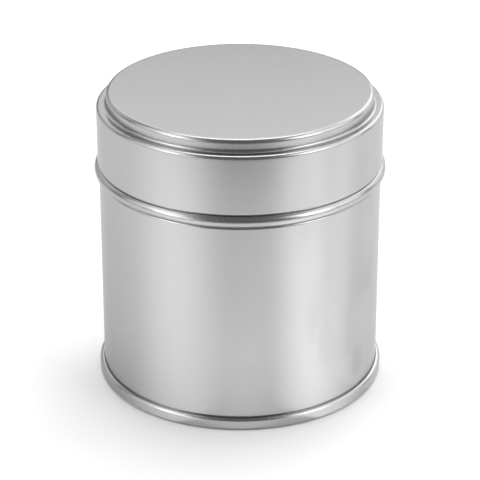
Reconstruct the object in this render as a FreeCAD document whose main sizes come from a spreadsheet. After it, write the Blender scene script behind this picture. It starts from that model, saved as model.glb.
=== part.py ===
import FreeCAD, Part
import math
import os
import Sketcher

# A round slip-lid tin can, shut, in millimetres.
#
# Three pieces, each turned about the can's own axis and each solid, because
# a shut tin can't be seen into:
#   base_end  the bottom end: its double seam round the foot of the wall, and
#             the end panel sunk inside the seam
#   body      the straight wall, with one rolled bead just under the lid
#   lid       the drawn cap: straight skirt, narrow ledge, stepped flat top
#
# The frame's origin is the middle of the circle that the seam stands on,
# +Z goes up the axis, and every level below is a height above that circle.

# The driving dimensions: name, value, meaning.
SIZES = [
    ("wall_radius", 38.0, "outside of the straight wall"),
    ("body_height", 62.55, "from the surface it stands on to the lid's lower edge"),
    ("seam_height", 3.5, "height of the double seam"),
    ("seam_proud", 1.2, "how far the seam stands out of the wall"),
    ("seam_width", 1.8, "from the seam's outside to the countersink wall"),
    ("seam_lip_round", 0.1, "rounding of the seam's lip beside the wall"),
    ("seam_top_flat", 0.05, "flat between the lip's and the shoulder's roundings"),
    ("seam_lift", 0.4, "how far the seam's outer fold ends above the surface"),
    ("seam_fold_round", 0.3, "rounding under the seam's outer fold"),
    ("rim_width", 0.7, "width of the rim that it stands on, with its roundings"),
    ("rim_round", 0.2, "roundings either side of the rim that it stands on"),
    ("seam_clearance", 0.05, "gap between the wall and the seam's lip"),
    ("body_seat_depth", 0.5, "how far the wall's foot sits below the seam's top"),
    ("end_sheet", 0.3, "thickness of the end panel"),
    ("panel_round", 0.4, "rounding where the countersink wall meets the panel"),
    ("bead_height", 3.45, "height of the rolled bead"),
    ("bead_proud", 1.25, "how far the bead stands out of the wall"),
    ("lid_reveal", 0.45, "gap between the bead's top and the lid's lower edge"),
    ("lid_proud", 0.35, "how far the lid's skirt stands out of the wall"),
    ("skirt_height", 15.95, "from the lid's lower edge to its ledge"),
    ("hem_round", 0.25, "rounding of the lid's lower edge"),
    ("ledge_width", 2.65, "from the skirt's outside to the step"),
    ("ledge_shoulder_round", 0.9, "rounding where the skirt turns in to the ledge"),
    ("step_height", 3.5, "from the ledge to the flat top"),
    ("step_root_round", 0.6, "hollow rounding where the step meets the ledge"),
    ("crown_round", 1.1, "rounding round the flat top"),
]

# What follows from them, as the sheet's own formulas.
DERIVED = [
    ("seam_radius", "wall_radius + seam_proud", "outside of the double seam"),
    ("countersink_radius", "seam_radius - seam_width", "wall of the sunk end"),
    ("rim_radius", "countersink_radius + rim_width", "outside of the rim that it stands on"),
    ("lip_radius", "wall_radius + seam_clearance", "inside of the seam's lip"),
    ("seam_shoulder_round", "seam_radius - lip_radius - seam_lip_round - seam_top_flat",
     "outer rounding of the seam's top"),
    ("body_foot_level", "seam_height - body_seat_depth", "the panel's top, where the wall stands"),
    ("panel_level", "body_foot_level - end_sheet", "the panel's underside"),
    ("body_rise", "body_height - body_foot_level", "the body's own height, up to the lid"),
    ("bead_top_rise", "body_rise - lid_reveal", "top of the bead above the wall's foot"),
    ("bead_foot_rise", "bead_top_rise - bead_height", "foot of the bead above the wall's foot"),
    ("bead_round", "(bead_height * bead_height / 4 + bead_proud * bead_proud) / (2 * bead_proud)",
     "radius of the bead's arc, from its chord and its height"),
    ("bead_centre_rise", "(bead_top_rise + bead_foot_rise) / 2", "middle of the bead's arc"),
    ("bead_centre_radius", "wall_radius + bead_proud - bead_round", "middle of the bead's arc"),
    ("lid_radius", "wall_radius + lid_proud", "outside of the lid's skirt"),
    ("step_radius", "lid_radius - ledge_width", "outside of the lid's step"),
    ("lid_rise", "skirt_height + step_height", "the lid's own height"),
]

AXIS = None  # a corner on the axis, or on the piece's own base line, has no distance to it
ORIGIN_POINT = (-1, 1)
LEVEL_AXIS = -1
UPRIGHT_AXIS = -2
START, END, CENTRE = 1, 2, 3
QUARTER_TURN = math.pi / 2
FULL_TURN_DEG = 360.0


def make_sheet(doc):
    """The sheet 'sizes': a name, its value or formula, and its meaning in each row."""
    sheet = doc.addObject("Spreadsheet::Sheet", "sizes")
    rows = [(name, str(value), note) for name, value, note in SIZES]
    rows += [(name, "=" + formula, note) for name, formula, note in DERIVED]
    for number, (name, content, note) in enumerate(rows, start=1):
        sheet.set(f"A{number}", name)
        sheet.set(f"B{number}", content)
        sheet.setAlias(f"B{number}", name)
        sheet.set(f"C{number}", note)
    doc.recompute()
    return sheet


def size(sheet, name):
    """The sheet's value of a name; what lies on an axis is at nought."""
    return 0.0 if name is AXIS else float(getattr(sheet, name))


def upright_sketch(body, name):
    """A sketch on the body's own XZ plane: its x is the radius, its y the height."""
    plane = next(part for part in body.Origin.OriginFeatures if part.Role == "XZ_Plane")
    sketch = body.newObject("Sketcher::SketchObject", name)
    sketch.AttachmentSupport = [(plane, "")]
    sketch.MapMode = "FlatFace"
    return sketch


def bind(sheet, sketch, kind, geometry, alias):
    """Add a dimension to the sketch that reads its value from the sheet."""
    index = sketch.addConstraint(Sketcher.Constraint(kind, *geometry, size(sheet, alias)))
    sketch.setExpression(f"Constraints[{index}]", f"sizes.{alias}")


def direction(start, end):
    """Unit vector from one corner to the next."""
    step = end.sub(start)
    return step.normalize()


def corner_arc(corner, before, after, radius):
    """The quarter circle that rounds a right-angled corner, its two ends, and its sense."""
    into, out = direction(before, corner), direction(corner, after)
    first, last = corner - into * radius, corner + out * radius
    centre = first + out * radius
    anticlockwise = into.cross(out).z > 0
    spoke = (first if anticlockwise else last) - centre
    start_angle = math.atan2(spoke.y, spoke.x)
    circle = Part.Circle(centre, FreeCAD.Vector(0, 0, 1), radius)
    arc = Part.ArcOfCircle(circle, start_angle, start_angle + QUARTER_TURN)
    return arc, first, last, anticlockwise


def draw_outline(sheet, sketch, corners):
    """Draw a closed outline of level and upright runs.

    Each corner is (radius, level, rounding): names in the sheet, or AXIS.
    Every run gets one dimension, its distance from the axis or the base line,
    and every rounding its radius, so the sheet settles the whole outline.
    """
    points = [FreeCAD.Vector(size(sheet, radius), size(sheet, level), 0)
              for radius, level, _ in corners]
    count = len(corners)
    ends = []  # for each corner: where the run before it stops, where the next starts
    arcs = []
    for number, (_, _, rounding) in enumerate(corners):
        corner = points[number]
        if rounding is None:
            arcs.append(None)
            ends.append((corner, corner))
            continue
        arc, first, last, anticlockwise = corner_arc(
            corner, points[number - 1], points[(number + 1) % count], size(sheet, rounding))
        index = sketch.addGeometry(arc, False)
        arcs.append((index, START, END) if anticlockwise else (index, END, START))
        ends.append((first, last))
    runs = []
    for number in range(count):
        start, end = ends[number][1], ends[(number + 1) % count][0]
        runs.append(sketch.addGeometry(Part.LineSegment(start, end), False))
    for number, (radius, level, rounding) in enumerate(corners):
        run_before, run_after = runs[number - 1], runs[number]
        if arcs[number] is None:
            joint = Sketcher.Constraint("Coincident", run_before, END, run_after, START)
            sketch.addConstraint(joint)
        else:
            arc, arc_first, arc_last = arcs[number]
            sketch.addConstraint(Sketcher.Constraint("Tangent", run_before, END, arc, arc_first))
            sketch.addConstraint(Sketcher.Constraint("Tangent", arc, arc_last, run_after, START))
            bind(sheet, sketch, "Radius", (arc,), rounding)
        following = corners[(number + 1) % count]
        if following[0] == radius:
            place_run(sheet, sketch, run_after, "Vertical", "DistanceX", UPRIGHT_AXIS, radius)
        else:
            place_run(sheet, sketch, run_after, "Horizontal", "DistanceY", LEVEL_AXIS, level)


def place_run(sheet, sketch, run, direction_kind, distance_kind, axis, alias):
    """Hold a run level or upright, at its distance or on its axis."""
    if alias is AXIS:
        sketch.addConstraint(Sketcher.Constraint("PointOnObject", run, START, axis))
        sketch.addConstraint(Sketcher.Constraint("PointOnObject", run, END, axis))
        return
    sketch.addConstraint(Sketcher.Constraint(direction_kind, run))
    bind(sheet, sketch, distance_kind, (*ORIGIN_POINT, run, START), alias)


def turn(body, sketch, name):
    """Turn the sketch a full circle about the can's axis."""
    feature = body.newObject("PartDesign::Revolution", name)
    feature.Profile = sketch
    feature.ReferenceAxis = (sketch, ["V_Axis"])
    feature.Angle = FULL_TURN_DEG
    sketch.Visibility = False
    return feature


def make_base_end(doc, sheet):
    """The bottom end: the seam's rounded ring with the end panel sunk inside it."""
    body = doc.addObject("PartDesign::Body", "base_end")
    sketch = upright_sketch(body, "seam_and_panel")
    draw_outline(sheet, sketch, [
        (AXIS, "panel_level", None),
        ("countersink_radius", "panel_level", "panel_round"),
        ("countersink_radius", AXIS, "rim_round"),
        ("rim_radius", AXIS, "rim_round"),
        ("rim_radius", "seam_lift", None),
        ("seam_radius", "seam_lift", "seam_fold_round"),
        ("seam_radius", "seam_height", "seam_shoulder_round"),
        ("lip_radius", "seam_height", "seam_lip_round"),
        ("lip_radius", "body_foot_level", None),
        (AXIS, "body_foot_level", None),
    ])
    turn(body, sketch, "turned_end")
    return body


def make_body(doc, sheet):
    """The straight wall, standing on the end panel, and the bead rolled out of it."""
    body = doc.addObject("PartDesign::Body", "body")
    wall = upright_sketch(body, "wall")
    draw_outline(sheet, wall, [
        (AXIS, AXIS, None),
        ("wall_radius", AXIS, None),
        ("wall_radius", "body_rise", None),
        (AXIS, "body_rise", None),
    ])
    turn(body, wall, "turned_wall")
    bead = upright_sketch(body, "bead")
    draw_bead(sheet, bead)
    turn(body, bead, "rolled_bead")
    body.setExpression("Placement.Base.z", "sizes.body_foot_level")
    return body


def draw_bead(sheet, sketch):
    """Draw the bead's section: a whole circle whose inner part lies in the wall."""
    centre = FreeCAD.Vector(size(sheet, "bead_centre_radius"), size(sheet, "bead_centre_rise"), 0)
    circle = Part.Circle(centre, FreeCAD.Vector(0, 0, 1), size(sheet, "bead_round"))
    index = sketch.addGeometry(circle, False)
    middle = (*ORIGIN_POINT, index, CENTRE)
    bind(sheet, sketch, "DistanceX", middle, "bead_centre_radius")
    bind(sheet, sketch, "DistanceY", middle, "bead_centre_rise")
    bind(sheet, sketch, "Radius", (index,), "bead_round")


def make_lid(doc, sheet):
    """The cap: skirt, rounded shoulder, ledge, step and flat top."""
    body = doc.addObject("PartDesign::Body", "lid")
    sketch = upright_sketch(body, "cap")
    draw_outline(sheet, sketch, [
        (AXIS, AXIS, None),
        ("lid_radius", AXIS, "hem_round"),
        ("lid_radius", "skirt_height", "ledge_shoulder_round"),
        ("step_radius", "skirt_height", "step_root_round"),
        ("step_radius", "lid_rise", "crown_round"),
        (AXIS, "lid_rise", None),
    ])
    turn(body, sketch, "turned_cap")
    body.setExpression("Placement.Base.z", "sizes.body_height")
    return body


def check(doc, pieces):
    """Stop on any failed object, and on any piece that isn't one valid solid."""
    for item in doc.Objects:
        if "Invalid" in item.State or "Error" in item.State:
            raise RuntimeError(f"{item.Label} failed: {item.State}")
    for piece in pieces:
        shape = piece.Shape
        if shape.isNull() or not shape.isValid() or len(shape.Solids) != 1:
            raise RuntimeError(f"{piece.Label} isn't one valid solid")
    for item in doc.Objects:
        if item.TypeId == "Sketcher::SketchObject" and not item.FullyConstrained:
            raise RuntimeError(f"{item.Label} isn't fully constrained")


def main():
    os.makedirs("parts", exist_ok=True)
    doc = FreeCAD.newDocument("slip_lid_tin")
    sheet = make_sheet(doc)
    pieces = [make_base_end(doc, sheet), make_body(doc, sheet), make_lid(doc, sheet)]
    doc.recompute()
    check(doc, pieces)
    for piece in pieces:
        box = piece.Shape.optimalBoundingBox(False, False)
        piece.Shape.exportStep(f"parts/{piece.Label}.step")
        print(f"{piece.Label}: radius {box.XMax:.3f}, top {box.ZMax:.3f}")


main()
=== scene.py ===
"""A round slip-lid tin can in satin tinplate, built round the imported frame.

Three pieces are each turned about the can's axis: the bottom end with its
double seam, the wall with its rolled bead, and the drawn lid. Lengths are in
metres, and +Z goes up the axis from the surface that the seam stands on.
"""

import math

import bpy
import numpy as np
from bpy.props import FloatProperty, FloatVectorProperty, IntProperty, PointerProperty
from mathutils import Euler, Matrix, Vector


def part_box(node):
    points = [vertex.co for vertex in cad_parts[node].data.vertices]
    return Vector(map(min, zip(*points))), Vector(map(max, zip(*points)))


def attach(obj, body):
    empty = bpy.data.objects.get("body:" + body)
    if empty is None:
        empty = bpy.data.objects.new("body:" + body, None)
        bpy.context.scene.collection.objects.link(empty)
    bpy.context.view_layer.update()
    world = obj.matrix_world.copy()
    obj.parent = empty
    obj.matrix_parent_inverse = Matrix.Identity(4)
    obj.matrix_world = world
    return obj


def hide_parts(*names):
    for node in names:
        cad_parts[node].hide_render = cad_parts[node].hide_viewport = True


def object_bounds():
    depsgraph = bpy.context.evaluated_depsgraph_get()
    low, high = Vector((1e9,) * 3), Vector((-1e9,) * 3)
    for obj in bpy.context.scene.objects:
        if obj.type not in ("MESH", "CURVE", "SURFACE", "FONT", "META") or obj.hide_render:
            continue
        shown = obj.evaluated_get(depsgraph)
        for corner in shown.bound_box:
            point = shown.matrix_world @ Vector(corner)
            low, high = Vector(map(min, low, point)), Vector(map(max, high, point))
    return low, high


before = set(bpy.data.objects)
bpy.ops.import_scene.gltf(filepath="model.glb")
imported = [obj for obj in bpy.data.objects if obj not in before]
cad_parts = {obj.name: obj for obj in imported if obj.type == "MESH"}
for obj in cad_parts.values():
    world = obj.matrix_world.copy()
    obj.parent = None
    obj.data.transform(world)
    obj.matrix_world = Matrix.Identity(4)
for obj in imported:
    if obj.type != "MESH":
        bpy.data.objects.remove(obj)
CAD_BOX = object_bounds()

bl_info = {
    "name": "Slip-lid tin can",
    "version": (1, 0, 0),
    "blender": (4, 5, 0),
    "location": "3D View > Sidebar > Tin can",
    "description": "Builds a round slip-lid tin can in satin tinplate, with a plain studio stage",
    "category": "Object",
}

_, BASE_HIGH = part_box("base_end")
_, BODY_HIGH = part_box("body")
LID_LOW, LID_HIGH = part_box("lid")

BODY_NAME = "root"


def linear(hex_colour):
    """Linear red, green and blue of an sRGB hex colour.

    A channel c is c / 12.92 up to 0.04045 and ((c + 0.055) / 1.055) to the power 2.4 above it.
    """
    channel = np.array([int(hex_colour[first:first + 2], 16) for first in (1, 3, 5)]) / 255.0
    low, high = channel / 12.92, ((channel + 0.055) / 1.055) ** 2.4
    return tuple(np.where(channel <= 0.04045, low, high).tolist())


def length(name, description, default):
    """A size in metres, as the sidebar shows it."""
    return FloatProperty(
        name=name, description=description, default=default,
        min=0.0, precision=5, unit="LENGTH",
    )


def colour(name, description, hex_colour):
    """A colour, written as sRGB hex and kept linear."""
    return FloatVectorProperty(
        name=name, description=description, default=linear(hex_colour),
        min=0.0, max=1.0, size=3, subtype="COLOR",
    )


class TinCanSizes(bpy.types.PropertyGroup):
    """Sizes of the can's own features; the heights and radii that the frame gives aren't repeated."""

    wall_radius: length("Wall radius", "Outside of the straight wall", 0.0380)
    crease_height: length("Crease height", "Height of the crease under the bead", 0.0001)
    crease_depth: length("Crease depth", "How far the crease is pressed in", 0.00015)
    bead_height: length("Bead height", "Height of the rolled bead", 0.0033)
    reveal: length("Reveal", "Gap between the bead's top and the lid's lower edge", 0.00038)
    neck_clearance: length("Neck clearance", "Gap between the neck and the inside of the skirt", 0.0001)
    neck_depth: length("Neck depth", "How far the gap between neck and skirt reaches up", 0.0020)
    neck_slope: length("Neck slope", "Rise from the bead's top edge to the neck", 0.0001)
    skirt_sheet: length("Skirt sheet", "Thickness of the skirt's lower edge", 0.00028)
    hem_round: length("Hem rounding", "Outer rounding of the lid's lower edge", 0.00012)
    hem_inner_round: length("Hem inner rounding", "Inner rounding of the lid's lower edge", 0.00002)
    ledge_width: length("Ledge width", "From the skirt's outside to the step", 0.00265)
    shoulder_round: length("Shoulder rounding", "Where the skirt turns in to the ledge", 0.0009)
    step_height: length("Step height", "From the ledge to the flat top", 0.0035)
    root_round: length("Root rounding", "Hollow where the step meets the ledge", 0.0006)
    crown_round: length("Crown rounding", "Rounding round the flat top", 0.0011)
    seam_width: length("Seam width", "From the seam's outside to the countersink wall", 0.0018)
    seam_lift: length("Seam lift", "How far the seam's outer fold ends above the paper", 0.0004)
    seam_fold_round: length("Seam fold rounding", "Under the seam's outer fold", 0.0003)
    rim_width: length("Rim width", "Of the rim that it stands on, with its roundings", 0.0007)
    rim_round: length("Rim rounding", "Either side of the rim that it stands on", 0.0002)
    seam_lip_round: length("Seam lip rounding", "Of the seam's lip beside the wall", 0.0001)
    seam_top_flat: length("Seam top flat", "Flat between the lip's and the shoulder's roundings", 0.00005)
    seam_clearance: length("Seam clearance", "Gap between the wall and the seam's lip", 0.00005)
    seam_gap_depth: length("Seam gap depth", "How far the gap beside the wall reaches down", 0.0012)
    seat_depth: length("Seat depth", "How deep in the seam the wall stands on the panel", 0.0005)
    panel_rise: length("Panel rise", "How far the end panel is sunk above the rim", 0.0027)
    panel_round: length("Panel rounding", "Where the countersink wall meets the panel", 0.0004)


class TinCanFinish(bpy.types.PropertyGroup):
    """Colours and mesh fineness."""

    tin: colour("Tin", "Satin tinplate, lit square on", "#AEAEAE")
    tin_tarnish: colour("Tin, duller", "Where the tin's grain lies a little thicker", "#ABABAB")
    paper: colour("Paper", "The seamless paper that the can stands on", "#FDFDFD")
    around: IntProperty(
        name="Divisions", description="Divisions round the can", default=256, min=48, max=512,
    )
    step: length("Step", "Distance between the profile's points on a straight run", 0.0006)


def straight(start, end, step):
    """A straight run: start + t (end - start), with t going evenly from 0 to 1 in steps about this long."""
    start, end = np.array(start, float), np.array(end, float)
    count = max(2, math.ceil(np.linalg.norm(end - start) / step) + 1)
    share = np.linspace(0.0, 1.0, count)[:, None]
    return start + share * (end - start)


def bend(centre, radius, start, end, count=20):
    """A circle's arc: centre + radius (cos a, sin a), with a going evenly from start to end in degrees."""
    angle = np.radians(np.linspace(start, end, count + 1))
    return np.array(centre) + radius * np.column_stack((np.cos(angle), np.sin(angle)))


def joined(*runs):
    """The runs one after the other as one outline, with each doubled point left out."""
    outline = np.vstack(runs)
    apart = np.linalg.norm(np.diff(outline, axis=0), axis=1) > 1e-8
    return outline[np.concatenate(([True], apart))]


def turned(name, outline, around, material):
    """A closed surface turned about the Z axis.

    The grid's point is (r(v) cos u, r(v) sin u, z(v)): v goes along the outline, from the axis
    at the bottom out and up to the axis at the top, and u goes once round in even steps. The
    outline's two ends are on the axis, and each is one vertex with a fan of triangles.
    """
    radius, level = outline[1:-1].T
    angle = np.linspace(0.0, 2.0 * np.pi, around, endpoint=False)
    across, along = radius[:, None] * np.cos(angle), radius[:, None] * np.sin(angle)
    grid = np.stack(np.broadcast_arrays(across, along, level[:, None]), axis=-1)
    poles = np.array([[0.0, 0.0, outline[0, 1]], [0.0, 0.0, outline[-1, 1]]])
    points = np.vstack((grid.reshape(-1, 3), poles))
    here = np.arange(radius.size * around).reshape(radius.size, around)
    beside = np.roll(here, -1, axis=1)
    quads = np.stack((here[:-1], beside[:-1], beside[1:], here[1:]), axis=-1).reshape(-1, 4)
    bottom = np.column_stack((np.full(around, here.size), beside[0], here[0]))
    top = np.column_stack((np.full(around, here.size + 1), here[-1], beside[-1]))
    mesh = bpy.data.meshes.new(name)
    mesh.from_pydata(points.tolist(), [], quads.tolist() + bottom.tolist() + top.tolist())
    mesh.polygons.foreach_set("use_smooth", np.ones(len(mesh.polygons), bool))
    mesh.update()
    piece = bpy.data.objects.new(name, mesh)
    piece.data.materials.append(material)
    bpy.context.scene.collection.objects.link(piece)
    return piece


def base_end_outline(size, step):
    """The bottom end, from the panel's middle round the double seam to the gap beside the wall."""
    outer = BASE_HIGH.x
    top = BASE_HIGH.z
    inner = outer - size.seam_width
    lip = size.wall_radius + size.seam_clearance
    rim, rim_round = inner + size.rim_width, size.rim_round
    lift, fold, corner = size.seam_lift, size.seam_fold_round, size.panel_round
    lip_round = size.seam_lip_round
    shoulder = outer - lip - lip_round - size.seam_top_flat
    seat, gap = top - size.seat_depth, top - size.seam_gap_depth
    return joined(
        straight((0.0, size.panel_rise), (inner - corner, size.panel_rise), step * 2),
        bend((inner - corner, size.panel_rise - corner), corner, 90.0, 0.0),
        straight((inner, size.panel_rise - corner), (inner, rim_round), step),
        bend((inner + rim_round, rim_round), rim_round, 180.0, 270.0, 10),
        straight((inner + rim_round, 0.0), (rim - rim_round, 0.0), step),
        bend((rim - rim_round, rim_round), rim_round, 270.0, 360.0, 10),
        straight((rim, rim_round), (rim, lift), step),
        straight((rim, lift), (outer - fold, lift), step),
        bend((outer - fold, lift + fold), fold, 270.0, 360.0),
        straight((outer, lift + fold), (outer, top - shoulder), step / 2),
        bend((outer - shoulder, top - shoulder), shoulder, 0.0, 90.0),
        straight((outer - shoulder, top), (lip + lip_round, top), step),
        bend((lip + lip_round, top - lip_round), lip_round, 90.0, 180.0),
        straight((lip, top - lip_round), (lip, gap), step),
        straight((lip, gap), (size.wall_radius, gap), step),
        straight((size.wall_radius, gap), (size.wall_radius, seat), step),
        straight((size.wall_radius, seat), (0.0, seat), step * 2),
    )


def body_outline(size, step):
    """The body: wall, rolled bead and the neck that the lid's skirt covers.

    The bead is a circle's arc on a chord as long as the bead is high. An arc that rises p above a
    chord of length c has the radius (c c / 4 + p p) / (2 p).
    """
    wall = size.wall_radius
    proud = BODY_HIGH.x - wall
    chord = size.bead_height
    radius = (chord ** 2 / 4 + proud ** 2) / (2 * proud)
    top = LID_LOW.z - size.reveal
    middle, low = top - chord / 2, top - chord
    crease = wall - size.crease_depth
    reach = math.degrees(math.asin(chord / 2 / radius))
    foot = BASE_HIGH.z - size.seat_depth
    neck = LID_HIGH.x - size.skirt_sheet - size.neck_clearance
    neck_top = LID_LOW.z + size.neck_depth
    return joined(
        straight((0.0, foot), (wall, foot), step * 4),
        straight((wall, foot), (wall, low - size.crease_height), step),
        straight((crease, low - size.crease_height), (crease, low), step),
        straight((crease, low), (wall, low), step),
        bend((wall + proud - radius, middle), radius, -reach, reach, 40),
        straight((wall, top), (neck, top + size.neck_slope), step),
        straight((neck, top + size.neck_slope), (neck, neck_top), step),
        straight((neck, neck_top), (0.0, neck_top), step * 4),
    )


def lid_outline(size, step):
    """The drawn lid: hem, skirt, shoulder, ledge, step and flat top, closed over the neck."""
    outer, low, top = LID_HIGH.x, LID_LOW.z, LID_HIGH.z
    inner = outer - size.skirt_sheet
    hem, inner_hem = size.hem_round, size.hem_inner_round
    ledge = top - size.step_height
    shoulder, root, crown = size.shoulder_round, size.root_round, size.crown_round
    riser = outer - size.ledge_width
    ceiling = low + size.neck_depth
    return joined(
        straight((0.0, ceiling), (inner, ceiling), step * 4),
        straight((inner, ceiling), (inner, low + inner_hem), step),
        bend((inner + inner_hem, low + inner_hem), inner_hem, 180.0, 270.0, 6),
        bend((outer - hem, low + hem), hem, 270.0, 360.0, 10),
        straight((outer, low + hem), (outer, ledge - shoulder), step),
        bend((outer - shoulder, ledge - shoulder), shoulder, 0.0, 90.0, 24),
        straight((outer - shoulder, ledge), (riser + root, ledge), step / 2),
        bend((riser + root, ledge + root), root, 270.0, 180.0, 16),
        straight((riser, ledge + root), (riser, top - crown), step / 2),
        bend((riser - crown, top - crown), crown, 0.0, 90.0, 28),
        straight((riser - crown, top), (0.0, top), step),
    )


def node(tree, kind, settings=None, **inputs):
    """Add a node with its settings and its inputs; an input is a value, or the socket that feeds it."""
    made = tree.nodes.new(kind)
    for name, value in (settings or {}).items():
        setattr(made, name, value)
    for name, value in inputs.items():
        socket = made.inputs[int(name[1:]) if name[1:].isdigit() else name.replace("_", " ")]
        if isinstance(value, bpy.types.NodeSocket):
            tree.links.new(value, socket)
        else:
            socket.default_value = value
    return made


# Grains to the metre: the dull roll's grit, and the slow cloud in the thickness of the tin.
GRIT_SCALE = 3300.0
CLOUD_SCALE = 90.0
# The grit is this much longer the way that the sheet was rolled.
ROLLED_UP = (0.25, 0.25, 1.0)
ROLLED_ACROSS = (0.25, 1.0, 1.0)
ROUGH_LOW, ROUGH_HIGH = 0.26, 0.28
GRIT_STRENGTH, GRIT_HEIGHT = 0.03, 0.00002
# Tin mirrors less than a plain metal would at a grazing angle.
EDGE_TINT = (0.75, 0.75, 0.75, 1.0)


def satin_tinplate(name, finish, stretch):
    """Satin tinplate, temper-rolled with a dull roll and tinned.

    The tin is a neutral grey metal. The dulled roll leaves a fine grit in it, which spreads
    each reflection into a soft band, and the eye sees a sheen with no sharp image. The grit
    is about 0.15 mm wide and longer the way that the sheet was rolled. It is drawn at 0.3 mm,
    coarser than real, and faint.
    """
    material = bpy.data.materials.new(name)
    material.use_nodes = True
    tree = material.node_tree
    tree.nodes.clear()
    spot = node(tree, "ShaderNodeTexCoord").outputs["Object"]
    along = node(tree, "ShaderNodeMapping", None, Vector=spot, Scale=stretch).outputs["Vector"]
    grit = node(tree, "ShaderNodeTexNoise", None, Vector=along,
                Scale=GRIT_SCALE, Detail=2.0, Roughness=0.6)
    cloud = node(tree, "ShaderNodeTexNoise", None, Vector=spot,
                 Scale=CLOUD_SCALE, Detail=3.0, Roughness=0.5)
    tone = node(tree, "ShaderNodeMix", {"data_type": "RGBA"}, Factor=cloud.outputs["Fac"],
                _6=(*finish.tin, 1.0), _7=(*finish.tin_tarnish, 1.0))
    dull = node(tree, "ShaderNodeMapRange", None, Value=grit.outputs["Fac"],
                To_Min=ROUGH_LOW, To_Max=ROUGH_HIGH)
    relief = node(tree, "ShaderNodeBump", None, Height=grit.outputs["Fac"],
                  Strength=GRIT_STRENGTH, Distance=GRIT_HEIGHT)
    metal = node(tree, "ShaderNodeBsdfPrincipled", None, Base_Color=tone.outputs[2], Metallic=1.0,
                 Roughness=dull.outputs["Result"], Specular_Tint=EDGE_TINT,
                 Normal=relief.outputs["Normal"])
    node(tree, "ShaderNodeOutputMaterial", None, Surface=metal.outputs["BSDF"])
    return material


def seamless_paper(finish):
    """Matt white seamless paper, plain and a little short of full white."""
    material = bpy.data.materials.new("seamless paper, matt white")
    material.use_nodes = True
    tree = material.node_tree
    tree.nodes.clear()
    paper = node(tree, "ShaderNodeBsdfDiffuse", None, Color=(*finish.paper, 1.0), Roughness=0.0)
    node(tree, "ShaderNodeOutputMaterial", None, Surface=paper.outputs["BSDF"])
    return material


def place(piece, cad_node):
    """Put a finished piece under its body and hide the CAD node that it stands for."""
    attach(piece, BODY_NAME)
    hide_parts(cad_node)


class TINCAN_OT_base_end(bpy.types.Operator):
    """Turn the bottom end with its double seam"""

    bl_idname = "tincan.base_end"
    bl_label = "Bottom end"

    def execute(self, context):
        size, finish = context.scene.tincan_sizes, context.scene.tincan_finish
        tin = satin_tinplate("satin tinplate, seamed", finish, ROLLED_UP)
        piece = turned("seamed_bottom_end", base_end_outline(size, finish.step), finish.around, tin)
        place(piece, "base_end")
        return {"FINISHED"}


class TINCAN_OT_body(bpy.types.Operator):
    """Turn the wall with its rolled bead"""

    bl_idname = "tincan.body"
    bl_label = "Body"

    def execute(self, context):
        size, finish = context.scene.tincan_sizes, context.scene.tincan_finish
        tin = satin_tinplate("satin tinplate, rolled", finish, ROLLED_UP)
        piece = turned("rolled_body", body_outline(size, finish.step), finish.around, tin)
        place(piece, "body")
        return {"FINISHED"}


class TINCAN_OT_lid(bpy.types.Operator):
    """Turn the drawn lid"""

    bl_idname = "tincan.lid"
    bl_label = "Lid"

    def execute(self, context):
        size, finish = context.scene.tincan_sizes, context.scene.tincan_finish
        tin = satin_tinplate("satin tinplate, drawn", finish, ROLLED_ACROSS)
        piece = turned("drawn_lid", lid_outline(size, finish.step), finish.around, tin)
        place(piece, "lid")
        return {"FINISHED"}


# The paper's left, right, front and back edges. It ends a little way in front of the can, so the
# wall mirrors dim studio past its edge.
PAPER = (-2.5, 2.5, -0.225, 3.0)
# How bright the studio round the stage is, and what the camera sees there, where 1 is white.
STUDIO, BACKDROP = 0.18, 1.0

CAMERA_PLACE = (0.0, -0.52077, 0.28355)
CAMERA_DOWN = 25.289
LENS, SENSOR_WIDTH = 157.27, 36.0
NEAREST, FARTHEST = 0.05, 20.0

# Each softbox: name, azimuth from the camera's side (to the right is positive) and elevation in
# degrees, distance from the can, width and height, all in metres, and how bright its face is,
# where 1 is white.
SOFTBOXES = (
    ("overhead softbox", 180.0, 72.0, 1.2, 0.9, 0.72, 3.1),
    ("right overhead softbox", 105.0, 52.0, 1.2, 0.9, 0.6, 1.3),
    ("left overhead softbox", -90.0, 55.0, 1.2, 0.6, 0.5, 1.3),
    ("back softbox", 175.0, 33.0, 1.2, 1.1, 0.55, 1.5),
    ("back right softbox", 143.0, 22.0, 1.2, 1.0, 0.9, 1.6),
    ("back left softbox", -134.0, 22.0, 1.2, 0.9, 0.8, 0.75),
    ("right softbox", 58.0, 26.0, 1.2, 0.55, 0.9, 3.1),
    ("right side softbox", 92.0, 22.0, 1.2, 0.7, 0.7, 1.75),
    ("right low strip", 60.0, 7.0, 1.2, 0.6, 0.24, 1.1),
    ("left softbox", -60.0, 28.0, 1.2, 0.5, 0.9, 2.6),
    ("left side softbox", -86.0, 24.0, 1.2, 0.45, 0.8, 1.2),
    ("left low strip", -48.0, 7.0, 1.2, 0.6, 0.24, 4.2),
)

# Each light card lies flat beside the can, faces up and glows in a fan: name, the azimuth in degrees
# of the wall's point that the fan opens from and of its axis, its length, its width where it opens
# and at its far end, all in metres, and how bright its middle is.
CARDS = (
    ("left card", -25.5, -53.0, 0.30, 0.036, 0.60, 0.54),
    ("right card", 32.0, 64.0, 0.30, 0.036, 0.60, 0.84),
    ("right back card", 64.0, 125.0, 0.25, 0.055, 0.50, 0.28),
    ("front card", 0.0, 0.0, 0.07, 0.05, 0.14, 0.26),
)
# A card starts this far outside the seam, and lies this far above the paper.
CARD_GAP, CARD_LIFT = 0.0005, 0.0005


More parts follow.
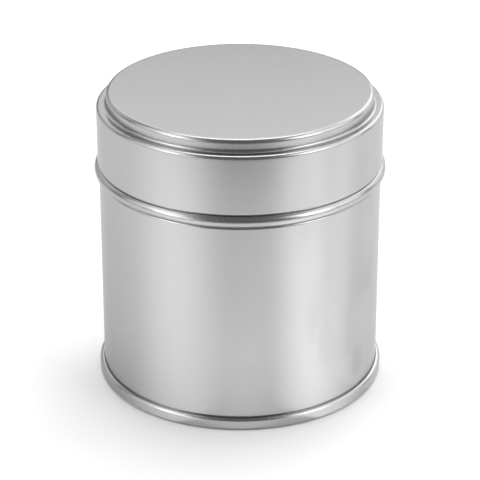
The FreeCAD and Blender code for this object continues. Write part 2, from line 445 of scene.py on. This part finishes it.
def softbox(name, azimuth, elevation, distance, width, height, brightness, aim):
    """A rectangular lamp that faces the can. Its power is brightness x pi x area."""
    turn, rise = math.radians(azimuth), math.radians(elevation)
    away = Vector((math.sin(turn) * math.cos(rise), -math.cos(turn) * math.cos(rise), math.sin(rise)))
    lamp = bpy.data.lights.new(name, "AREA")
    lamp.shape = "RECTANGLE"
    lamp.size, lamp.size_y = width, height
    lamp.energy = brightness * math.pi * width * height
    holder = bpy.data.objects.new(name, lamp)
    holder.location = aim + away * distance
    holder.rotation_euler = away.to_track_quat("Z", "Y").to_euler()
    holder.visible_camera = False
    bpy.context.scene.collection.objects.link(holder)
    return holder


def card(name, start, azimuth, far, narrow, wide, brightness, foot):
    """A rectangular lamp that lies on the paper and faces up.

    Its glow is a fan: with u across and v along it, both from 0 to 1, the light is
    s(1 - |2u - 1| / (n + (1 - n) v)) s(2 - 2v), where n is narrow / wide and s is a smooth step.
    """
    opening, turn = math.radians(start), math.radians(azimuth)
    near = Vector((math.sin(opening), -math.cos(opening), 0.0)) * foot
    away = Vector((math.sin(turn), -math.cos(turn), 0.0))
    lamp = bpy.data.lights.new(name, "AREA")
    lamp.shape = "RECTANGLE"
    lamp.size, lamp.size_y = wide, far
    lamp.energy = brightness * math.pi * wide * far
    lamp.use_nodes = True
    tree = lamp.node_tree
    tree.nodes.clear()
    spot = node(tree, "ShaderNodeNewGeometry").outputs["Parametric"]
    split = node(tree, "ShaderNodeSeparateXYZ", None, Vector=spot)
    offset = node(tree, "ShaderNodeMath", {"operation": "MULTIPLY_ADD"},
                  _0=split.outputs["X"], _1=2.0, _2=-1.0)
    across = node(tree, "ShaderNodeMath", {"operation": "ABSOLUTE"}, _0=offset.outputs[0])
    share = narrow / wide
    reach = node(tree, "ShaderNodeMath", {"operation": "MULTIPLY_ADD"},
                 _0=split.outputs["Y"], _1=1.0 - share, _2=share)
    out = node(tree, "ShaderNodeMath", {"operation": "DIVIDE"}, _0=across.outputs[0], _1=reach.outputs[0])
    fan = node(tree, "ShaderNodeMapRange", {"interpolation_type": "SMOOTHSTEP"},
               Value=out.outputs[0], From_Min=1.0, From_Max=0.0)
    fade = node(tree, "ShaderNodeMapRange", {"interpolation_type": "SMOOTHSTEP"},
                Value=split.outputs["Y"], From_Min=1.0, From_Max=0.5)
    both = node(tree, "ShaderNodeMath", {"operation": "MULTIPLY"}, _0=fan.outputs[0], _1=fade.outputs[0])
    glow = node(tree, "ShaderNodeEmission", None, Strength=both.outputs[0])
    node(tree, "ShaderNodeOutputLight", None, Surface=glow.outputs[0])
    holder = bpy.data.objects.new(name, lamp)
    holder.location = near + away * far / 2 + Vector((0.0, 0.0, CARD_LIFT))
    holder.rotation_euler = (math.pi, 0.0, turn)
    holder.visible_camera = False
    bpy.context.scene.collection.objects.link(holder)
    return holder


def floor(finish):
    """A sheet of paper: the grid's point is (x, y, 0), with x and y in even steps."""
    left, right, front, back = PAPER
    count = 25
    across, along = np.meshgrid(np.linspace(left, right, count), np.linspace(front, back, count))
    points = np.column_stack((across.ravel(), along.ravel(), np.zeros(across.size)))
    here = np.arange(across.size).reshape(across.shape)
    quads = np.stack((here[:-1, :-1], here[:-1, 1:], here[1:, 1:], here[1:, :-1]), axis=-1).reshape(-1, 4)
    mesh = bpy.data.meshes.new("paper_sheet")
    mesh.from_pydata(points.tolist(), [], quads.tolist())
    mesh.update()
    sheet = bpy.data.objects.new("paper_sheet", mesh)
    sheet.data.materials.append(seamless_paper(finish))
    bpy.context.scene.collection.objects.link(sheet)
    return sheet


def surround(scene):
    """The dim studio round the stage; the camera itself sees white past the paper's edge."""
    world = bpy.data.worlds.new("studio surround")
    world.use_nodes = True
    tree = world.node_tree
    tree.nodes.clear()
    seen = node(tree, "ShaderNodeLightPath").outputs["Is Camera Ray"]
    dim = node(tree, "ShaderNodeBackground", None, Color=(1.0, 1.0, 1.0, 1.0), Strength=STUDIO)
    white = node(tree, "ShaderNodeBackground", None, Color=(1.0, 1.0, 1.0, 1.0), Strength=BACKDROP)
    both = node(tree, "ShaderNodeMixShader", None, _0=seen, _1=dim.outputs[0], _2=white.outputs[0])
    node(tree, "ShaderNodeOutputWorld", None, Surface=both.outputs[0])
    scene.world = world


def camera(scene):
    """The camera, level with no turn, looking down at the can."""
    lens = bpy.data.cameras.new("camera")
    lens.sensor_width = SENSOR_WIDTH
    lens.lens = LENS
    lens.clip_start, lens.clip_end = NEAREST, FARTHEST
    holder = bpy.data.objects.new("camera", lens)
    holder.location = CAMERA_PLACE
    holder.rotation_euler = Euler((math.radians(90.0 - CAMERA_DOWN), 0.0, 0.0))
    scene.collection.objects.link(holder)
    return holder


class TINCAN_OT_stage(bpy.types.Operator):
    """Lay the paper, set up the lamps and the camera"""

    bl_idname = "tincan.stage"
    bl_label = "Stage"

    def execute(self, context):
        scene = context.scene
        paper = floor(scene.tincan_finish)
        middle = Vector((0.0, 0.0, (CAD_BOX[0].z + CAD_BOX[1].z) / 2))
        for row in SOFTBOXES:
            softbox(*row, aim=middle)
        for row in CARDS:
            card(*row, foot=BASE_HIGH.x + CARD_GAP)
        surround(scene)
        scene.camera = camera(scene)
        scene.view_settings.view_transform = "Standard"
        return {"FINISHED"}


class TINCAN_PT_panel(bpy.types.Panel):
    """Lists the can's operators"""

    bl_idname = "TINCAN_PT_panel"
    bl_label = "Tin can"
    bl_space_type = "VIEW_3D"
    bl_region_type = "UI"
    bl_category = "Tin can"

    def draw(self, context):
        column = self.layout.column(align=True)
        for operator in OPERATORS:
            column.operator(operator.bl_idname)


OPERATORS = (TINCAN_OT_base_end, TINCAN_OT_body, TINCAN_OT_lid, TINCAN_OT_stage)
CLASSES = (TinCanSizes, TinCanFinish, *OPERATORS, TINCAN_PT_panel)


def register():
    for kind in CLASSES:
        bpy.utils.register_class(kind)
    bpy.types.Scene.tincan_sizes = PointerProperty(type=TinCanSizes)
    bpy.types.Scene.tincan_finish = PointerProperty(type=TinCanFinish)


def unregister():
    del bpy.types.Scene.tincan_finish
    del bpy.types.Scene.tincan_sizes
    for kind in reversed(CLASSES):
        bpy.utils.unregister_class(kind)


def main():
    register()
    bpy.ops.tincan.base_end()
    bpy.ops.tincan.body()
    bpy.ops.tincan.lid()
    bpy.ops.tincan.stage()


if __name__ == "__main__":
    main()
